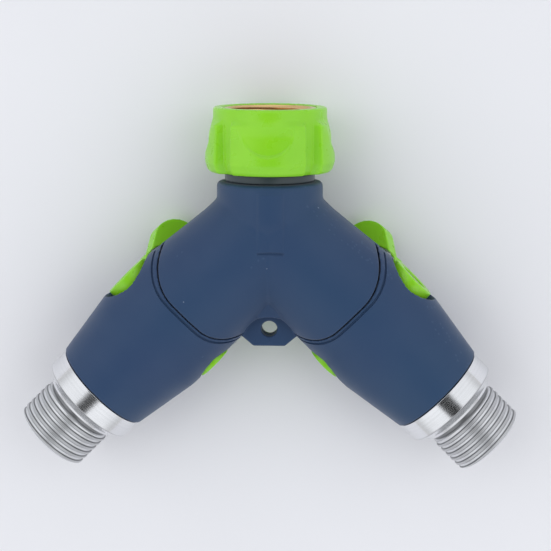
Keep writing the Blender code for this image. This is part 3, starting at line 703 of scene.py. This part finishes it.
def lever(word, side):
    """The bail: two arms from the discs on the hub, and the bar across below the leg."""
    hub = HUBS[side]
    rest = lever_frame(side)
    half = LEVER_HALF_THICKNESS
    bail = plate(f"{word}_lever_moulding", lever_outline(side), -half, half, rest)
    discs = []
    rooms = [rod("lever_bore", LEVER_BORE_RADIUS, -30, 30, hub)]
    for face, radius in ((-1, INNER_DISC_RADIUS), (1, OUTER_DISC_RADIUS)):
        low, high = sorted((face * DISC_INNER, face * DISC_OUTER))
        discs.append(rod("lever_disc", radius, low, high, hub))
        low, high = sorted((face * HEAD_SEAT, face * 30))
        rooms.append(rod("head_room", HEAD_ROOM_RADIUS, low, high, hub))
    pocket = rounded([(-8.5, 25.5, 0.8), (8.5, 25.5, 0.8), (8.5, 28.9, 0.8), (-8.5, 28.9, 0.8)])
    rooms.append(plate("pocket", pocket, -1.2, 1.2, rest))
    combine(bail, discs, "UNION")
    combine(bail, rooms)
    discard(*discs, *rooms)
    return moulded(bail, LEVER_GRAIN, 6)


def hub_screw(name, side, face):
    """A cross-head screw in a hub disc: the stem's on face 1, the shouldered pivot screw on face -1."""
    neck = [(1.3, 19.1, 0)] if face > 0 else [(1.3, 16.2, 0), (3.2, 16.2, 0.1), (3.2, 19.1, 0)]
    outline = [(ON_AXIS, 14.3, 0), (1.3, 14.5, 0.1), *neck, (4.2, 19.1, 0.1), (4.2, 20.0, 0.4)]
    outline += [(3.2, 20.8, 0.8), (ON_AXIS, 20.8, 0)]
    outline = [(radius, face * height, bend) for radius, height, bend in outline]
    screw = turned(name, rounded(outline), HUBS[side], 64)
    low, high = sorted((face * 19.7, face * 22))
    cross = [block("cross", (-a, -b, low), (a, b, high), HUBS[side]) for a, b in ((1.9, 0.35), (0.35, 1.9))]
    combine(screw, cross)
    discard(*cross)
    screw.data.set_sharp_from_angle(angle=SHARP_EDGE)
    return screw


def cover_screw(spot, x, y):
    """A cross-head screw that holds the two covers together."""
    place = spot_frame(x, y)
    outline = [(ON_AXIS, -9.0, 0), (1.7, -9.0, 0.5), (2.2, -8.4, 0.2), (2.2, -7.2, 0.1), (1.2, -7.2, 0)]
    outline += [(1.2, 5.0, 0.2), (ON_AXIS, 6.0, 0)]
    screw = turned(f"{spot}_case_screw", rounded(outline), place, 48)
    cross = [block("cross", (-a, -b, -10), (a, b, -8.2), place) for a, b in ((1.1, 0.22), (0.22, 1.1))]
    combine(screw, cross)
    discard(*cross)
    screw.data.set_sharp_from_angle(angle=SHARP_EDGE)
    return screw


def ball(word, side):
    """The polished ball with its bore, and the slot that the stem turns it by."""
    angles = np.linspace(-math.pi / 2, math.pi / 2, 49)
    arc = [(BALL_RADIUS * math.cos(angle), BALL_RADIUS * math.sin(angle)) for angle in angles]
    arc[0] = (ON_AXIS, -BALL_RADIUS)
    arc[-1] = (ON_AXIS, BALL_RADIUS)
    made = turned(f"{word}_polished_ball", arc, HUBS[side], 96)
    place = LEGS[side] @ Matrix.Translation((0, 0, HUB * MM))
    bore = rod("ball_bore", BALL_BORE_RADIUS, -20, 20, place)
    slot = block("ball_slot", (-6, -1.4, 7.2), (6, 1.4, 12), HUBS[side])
    combine(made, [bore, slot])
    discard(bore, slot)
    made.data.set_sharp_from_angle(angle=SHARP_EDGE)
    return made


# --------------------------------------------------------------------------------------------- MATERIALS


class Look:
    """A material under construction: its Principled shader and shorthand for the nodes that feed it."""

    def __init__(self, name, colour, roughness, metallic=0.0):
        self.material = bpy.data.materials.new(name)
        self.material.use_nodes = True
        self.tree = self.material.node_tree
        self.shader = self.tree.nodes["Principled BSDF"]
        self.shader.inputs["Metallic"].default_value = metallic
        self.shader.inputs["Roughness"].default_value = roughness
        self.shader.inputs["Base Color"].default_value = (*colour, 1)
        self.position = self.node("ShaderNodeNewGeometry").outputs["Position"]

    def fill(self, socket, value):
        """Links the socket to a value that is another node's output, or sets it."""
        if isinstance(value, bpy.types.NodeSocket):
            self.tree.links.new(value, socket)
        else:
            socket.default_value = (*value, 1) if isinstance(value, tuple) else value

    def node(self, kind, **inputs):
        made = self.tree.nodes.new(kind)
        for name, value in inputs.items():
            self.fill(made.inputs[name], value)
        return made

    def noise(self, scale, detail, vector=None):
        vector = vector or self.position
        made = self.node("ShaderNodeTexNoise", Vector=vector, Scale=scale, Detail=detail)
        return made.outputs["Fac"]

    def spread(self, value, low, high, to_low, to_high):
        made = self.node("ShaderNodeMapRange", Value=value)
        made.inputs["From Min"].default_value = low
        made.inputs["From Max"].default_value = high
        made.inputs["To Min"].default_value = to_low
        made.inputs["To Max"].default_value = to_high
        return made.outputs["Result"]

    def maths(self, operation, first, second):
        made = self.tree.nodes.new("ShaderNodeMath")
        made.operation = operation
        for socket, value in zip(made.inputs, (first, second)):
            self.fill(socket, value)
        return made.outputs[0]

    def mix(self, factor, first, second):
        made = self.tree.nodes.new("ShaderNodeMix")
        made.data_type = "RGBA"
        # A Mix node's factor is its input 0, and its colours are inputs 6 and 7 and output 2
        for index, value in ((0, factor), (6, first), (7, second)):
            self.fill(made.inputs[index], value)
        return made.outputs[2]

    def edges(self, sharpness=0.53):
        """1 along convex edges, 0 elsewhere."""
        point = self.node("ShaderNodeNewGeometry").outputs["Pointiness"]
        return self.spread(point, sharpness, sharpness + 0.08, 0.0, 1.0)

    def bump(self, height, strength, distance):
        made = self.node("ShaderNodeBump", Height=height)
        made.inputs["Strength"].default_value = strength
        made.inputs["Distance"].default_value = distance
        before = self.shader.inputs["Normal"]
        if before.is_linked:
            self.tree.links.new(before.links[0].from_socket, made.inputs["Normal"])
        self.tree.links.new(made.outputs["Normal"], before)

    def feed(self, socket, value):
        self.tree.links.new(value, self.shader.inputs[socket])

    def along(self, place):
        """Distance out from a local frame's Z axis and along it, as the X and Y of one vector."""
        inverse = place.inverted()
        turn = self.node("ShaderNodeMapping", Vector=self.position)
        turn.inputs["Location"].default_value = inverse.translation
        turn.inputs["Rotation"].default_value = inverse.to_euler()
        parts = self.node("ShaderNodeSeparateXYZ", Vector=turn.outputs["Vector"]).outputs
        squares = [self.maths("MULTIPLY", part, part) for part in (parts[0], parts[1])]
        out = self.maths("SQRT", self.maths("ADD", *squares), 0.0)
        return self.node("ShaderNodeCombineXYZ", X=out, Y=parts[2]).outputs["Vector"]


def soft_touch_navy():
    """Matt rubbery paint: cloudy handling marks, a fine satin grain and a few specks of lint."""
    look = Look("soft_touch_navy", (0.021, 0.051, 0.125), 0.50)
    cloud = look.spread(look.noise(42, 4), 0.3, 0.7, 0.0, 1.0)
    broad = look.spread(look.noise(16, 2), 0.35, 0.65, 0.0, 1.0)
    body = look.mix(cloud, (0.016, 0.043, 0.112), (0.022, 0.052, 0.122))
    body = look.mix(look.maths("MULTIPLY", broad, 0.45), body, (0.014, 0.054, 0.116))
    worn = look.maths("MULTIPLY", look.edges(), 0.35)
    body = look.mix(worn, body, (0.050, 0.095, 0.185))
    cells = look.node("ShaderNodeTexVoronoi", Vector=look.position, Scale=185.0)
    chance = look.node("ShaderNodeSeparateColor", Color=cells.outputs["Color"]).outputs[0]
    sparse = look.maths("GREATER_THAN", chance, 0.88)
    speck = look.maths("MULTIPLY", look.maths("LESS_THAN", cells.outputs["Distance"], 0.055), sparse)
    body = look.mix(look.maths("MULTIPLY", speck, 0.55), body, (0.33, 0.40, 0.50))
    look.feed("Base Color", body)
    look.feed("Roughness", look.spread(look.noise(95, 4), 0.3, 0.7, 0.46, 0.58))
    look.bump(look.noise(2600, 2), 0.16, 0.00006)
    look.bump(look.noise(120, 2), 0.10, 0.0004)
    look.shader.inputs["Sheen Weight"].default_value = 0.12
    look.shader.inputs["Sheen Roughness"].default_value = 0.45
    look.shader.inputs["Specular IOR Level"].default_value = 0.34
    return look.material


def lime_plastic():
    """Glossy moulded plastic with a little orange peel, scuffs and brighter edges."""
    look = Look("lime_plastic", (0.255, 0.640, 0.018), 0.30)
    cloud = look.spread(look.noise(60, 3), 0.3, 0.7, 0.0, 1.0)
    body = look.mix(cloud, (0.235, 0.610, 0.014), (0.275, 0.665, 0.022))
    body = look.mix(look.maths("MULTIPLY", look.edges(0.54), 0.35), body, (0.45, 0.80, 0.13))
    look.feed("Base Color", body)
    look.feed("Roughness", look.spread(look.noise(220, 5), 0.3, 0.7, 0.24, 0.38))
    look.bump(look.noise(420, 2), 0.12, 0.0003)
    look.bump(look.noise(5200, 1), 0.05, 0.00003)
    look.shader.inputs["Subsurface Weight"].default_value = 0.12
    look.shader.inputs["Subsurface Radius"].default_value = (0.0016, 0.0030, 0.0006)
    look.shader.inputs["Subsurface Scale"].default_value = 1.0
    return look.material


def turned_metal(name, colour, dark, roughness, place, mark, painted_shade_bands=(), cut_from=None):
    """Lathe-turned metal: rings of tool marks round the axis of place, and a faint handling haze.

    Each painted shade band darkens the colour to stand for shade: 0 for radius or 1 for height, its two
    limits, its blur and its strength. Beyond the height cut_from the metal is rougher, as a cut thread is.
    """
    look = Look(name, colour, roughness, 1.0)
    rings = look.along(place)
    fine = look.noise(mark, 2, rings)
    coarse = look.noise(mark / 6, 2, rings)
    haze = look.spread(look.noise(85, 4), 0.35, 0.7, 0.0, 1.0)
    duller = tuple(0.93 * part for part in colour)
    body = look.mix(look.spread(coarse, 0.3, 0.7, 0.0, 1.0), colour, duller)
    body = look.mix(look.maths("MULTIPLY", haze, 0.22), body, dark)
    measures = look.node("ShaderNodeSeparateXYZ", Vector=rings).outputs
    # Painted shade: each band mixes the colour towards a third of dark, standing for shade in hollows and
    # corners
    for which, low, high, blur, strength in painted_shade_bands:
        rise = look.spread(measures[which], (low - blur) * MM, (low + blur) * MM, 0.0, strength)
        fall = look.spread(measures[which], (high - blur) * MM, (high + blur) * MM, 1.0, 0.0)
        body = look.mix(look.maths("MULTIPLY", rise, fall), body, tuple(0.3 * part for part in dark))
    look.feed("Base Color", body)
    rough = look.spread(fine, 0.3, 0.7, roughness * 0.8, roughness * 1.25)
    rough = look.maths("ADD", rough, look.maths("MULTIPLY", haze, 0.05))
    if cut_from:
        cut = look.spread(measures[1], cut_from * MM, (cut_from + 0.5) * MM, 0.0, CUT_ROUGHNESS)
        rough = look.maths("ADD", rough, cut)
    look.feed("Roughness", rough)
    look.bump(fine, 0.22, 0.00004)
    look.shader.inputs["Anisotropic"].default_value = 0.35
    return look.material


def plain_metal(name, colour, roughness, grain=900):
    """Metal with a fine even grain, as cast, stamped or plated."""
    look = Look(name, colour, roughness, 1.0)
    cloud = look.spread(look.noise(110, 4), 0.3, 0.7, 0.0, 1.0)
    body = look.mix(cloud, colour, tuple(0.86 * part for part in colour))
    body = look.mix(look.maths("MULTIPLY", look.edges(), 0.4), body, (0.86, 0.86, 0.86))
    look.feed("Base Color", body)
    rough = look.spread(look.noise(260, 4), 0.3, 0.7, roughness * 0.8, roughness * 1.3)
    look.feed("Roughness", rough)
    look.bump(look.noise(grain, 3), 0.18, 0.00008)
    return look.material


def dull_polymer(name, colour, roughness):
    """Rubber or unpolished plastic, with a fine grain and slightly paler edges."""
    look = Look(name, colour, roughness)
    cloud = look.spread(look.noise(90, 4), 0.3, 0.7, 0.0, 1.0)
    paler = tuple(min(1, part * 1.35 + 0.01) for part in colour)
    body = look.mix(look.maths("MULTIPLY", cloud, 0.5), colour, paler)
    look.feed("Base Color", look.mix(look.maths("MULTIPLY", look.edges(), 0.4), body, paler))
    rough = look.spread(look.noise(200, 3), 0.3, 0.7, roughness * 0.9, roughness * 1.15)
    look.feed("Roughness", rough)
    look.bump(look.noise(1400, 2), 0.15, 0.00006)
    return look.material


def show(piece, material, body, node):
    """The piece rides on its body in place of its CAD node, with this material."""
    piece.data.materials.clear()
    piece.data.materials.append(material)
    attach(piece, body)
    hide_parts(node)


def dress(node, material):
    """A CAD node that stays, with this material."""
    obj = frame["nodes"][node]
    obj.data.materials.clear()
    obj.data.materials.append(material)


TOOL_MARKS = 9000
CUT_ROUGHNESS = 0.2
THREAD_FROM = 91
ALUMINIUM = (0.84, 0.845, 0.86)
# The colour of the handling haze; a third of it is also the painted shade in the outlet's bands
ALUMINIUM_HAZE_AND_SHADE = (0.50, 0.51, 0.53)
# Painted shade: the thread's flanks and crest, the relief groove before it and the corner of the shoulder
# are darkened where shade falls
OUTLET_PAINTED_SHADE = (
    (0, 12.90, 13.36, 0.08, 0.75),
    (0, 13.46, 13.60, 0.02, 0.40),
    (1, 90.9, 92.5, 0.15, 0.85),
    (1, 87.3, 87.7, 0.15, 0.60),
)

navy = soft_touch_navy()
lime = lime_plastic()
steel = plain_metal("stainless_steel", (0.60, 0.60, 0.61), 0.26)
casting = plain_metal("cast_aluminium", (0.56, 0.565, 0.57), 0.46, 420)
chrome = plain_metal("chromed_brass", (0.78, 0.785, 0.79), 0.07, 3000)
rubber = dull_polymer("black_rubber", (0.018, 0.018, 0.019), 0.62)
collar_plastic = dull_polymer("collar_plastic", (0.040, 0.055, 0.066), 0.36)
seal_plastic = dull_polymer("seal_plastic", (0.78, 0.78, 0.75), 0.42)
brass = turned_metal("brass", (0.83, 0.55, 0.27), (0.40, 0.22, 0.08), 0.20, INLET, TOOL_MARKS)

show(back_cover(), navy, BODY, "back_cover")
show(front_cover(), navy, BODY, "front_cover")
show(swivel_collar(), collar_plastic, BODY, "swivel_collar")
show(swivel_grip(), lime, SWIVEL, "swivel_grip")
show(swivel_nut(), brass, SWIVEL, "inlet_swivel_nut")
show(inlet_washer(), rubber, SWIVEL, "inlet_washer")
show(filter_screen(), steel, SWIVEL, "filter_screen")
for spot, (x, y) in SCREW_SPOTS.items():
    show(cover_screw(spot, x, y), steel, BODY, f"cover_screw_{spot}")
for word, side in SIDES.items():
    handle = f"{word}_handle"
    silver = turned_metal(
        f"{word}_turned_aluminium",
        ALUMINIUM,
        ALUMINIUM_HAZE_AND_SHADE,
        0.14,
        LEGS[side],
        TOOL_MARKS,
        OUTLET_PAINTED_SHADE,
        THREAD_FROM,
    )
    show(leg_sleeve(word, side), navy, BODY, f"{word}_leg_sleeve")
    show(outlet_tailpiece(word, side), silver, BODY, f"{word}_outlet_tailpiece")
    show(lever(word, side), lime, handle, f"{word}_lever")
    show(hub_screw(f"{word}_handle_screw", side, 1), steel, handle, f"{word}_stem_screw")
    show(hub_screw(f"{word}_pivot_pin", side, -1), steel, BODY, f"{word}_pivot_screw")
    show(ball(word, side), chrome, handle, f"{word}_ball")
    dress(f"{word}_inlet_seat", seal_plastic)
    dress(f"{word}_outlet_seat", seal_plastic)
    dress(f"{word}_valve_stem", steel)
    dress(f"{word}_stem_o_ring", rubber)
    dress(f"{word}_tailpiece_o_ring", rubber)
dress("manifold", casting)
dress("swivel_retaining_ring", steel)
dress("swivel_o_ring", rubber)


# ------------------------------------------------------------------------------------- FLOOR, LIGHT, CAMERA


# The room's brightness by the sine of the angle above the horizon
HORIZON = 0.66
ROOM_LEVELS = ((0.10, HORIZON), (0.40, 0.95), (0.70, 1.0), (0.915, 1.0), (0.946, 0.01))
ROOM_STRENGTH = 1.04
LAMP_SIZE = (1.1, 1.3)
LAMP_AIM = Vector((0, 0, 0.02))


def floor():
    """A large flat pale sheet, finely textured like paper."""
    reach = 1.5
    mesh = bpy.data.meshes.new("paper_floor")
    bm = bmesh.new()
    bmesh.ops.create_grid(bm, x_segments=40, y_segments=40, size=reach)
    bm.to_mesh(mesh)
    bm.free()
    sheet = in_scene("paper_floor", mesh)
    look = Look("paper", (0.80, 0.80, 0.83), 0.7)
    shade = look.spread(look.noise(6, 3), 0.3, 0.7, 0.0, 1.0)
    look.feed("Base Color", look.mix(shade, (0.79, 0.79, 0.82), (0.82, 0.82, 0.85)))
    look.bump(look.noise(900, 2), 0.05, 0.0001)
    mesh.materials.append(look.material)


def area_light(name, place, power):
    """A large soft lamp, aimed at the object, that doesn't show in reflections."""
    light = bpy.data.lights.new(name, "AREA")
    light.shape = "RECTANGLE"
    light.size, light.size_y = LAMP_SIZE
    light.energy = power
    made = in_scene(name, light)
    made.location = place
    made.rotation_euler = (LAMP_AIM - Vector(place)).to_track_quat("-Z", "Y").to_euler()
    made.visible_glossy = False


def lights():
    """A pale room that is dark straight overhead and dimmer at the horizon, and two large soft lamps."""
    world = bpy.data.worlds.new("studio")
    bpy.context.scene.world = world
    world.use_nodes = True
    tree = world.node_tree
    direction = tree.nodes.new("ShaderNodeTexCoord").outputs["Generated"]
    parts = tree.nodes.new("ShaderNodeSeparateXYZ")
    tree.links.new(direction, parts.inputs[0])
    ramp = tree.nodes.new("ShaderNodeValToRGB")
    tree.links.new(parts.outputs["Z"], ramp.inputs[0])
    elements = ramp.color_ramp.elements
    elements.remove(elements[1])
    elements[0].color = (HORIZON, HORIZON, HORIZON, 1)
    for place, level in ROOM_LEVELS:
        elements.new(place).color = (0.95 * level, 0.97 * level, level, 1)
    background = tree.nodes["Background"]
    tree.links.new(ramp.outputs[0], background.inputs["Color"])
    background.inputs["Strength"].default_value = ROOM_STRENGTH
    area_light("left", (-0.74, 0.20, 0.86), 2.6)
    area_light("right", (0.74, 0.12, 0.86), 2.2)


def camera():
    """Looks almost straight down, from a little beyond the inlet end and a little to the right."""
    tip = math.radians(9.7)
    lean = math.radians(1.9)
    roll = math.radians(-0.5)
    distance = 0.5427
    across, up = -0.0019, 0.0182
    view = (
        Matrix.Translation((across, up, -distance))
        @ Matrix.Rotation(roll, 4, "Z")
        @ Matrix.Rotation(-lean, 4, "Y")
        @ Matrix.Rotation(tip, 4, "X")
        @ Matrix.Translation(-JUNCTION)
    )
    lens = bpy.data.cameras.new("camera")
    lens.sensor_width = 36
    lens.lens = 105.8
    made = in_scene("camera", lens)
    made.matrix_world = view.inverted()
    bpy.context.scene.camera = made


bpy.context.scene.view_settings.view_transform = "Standard"
floor()
lights()
camera()
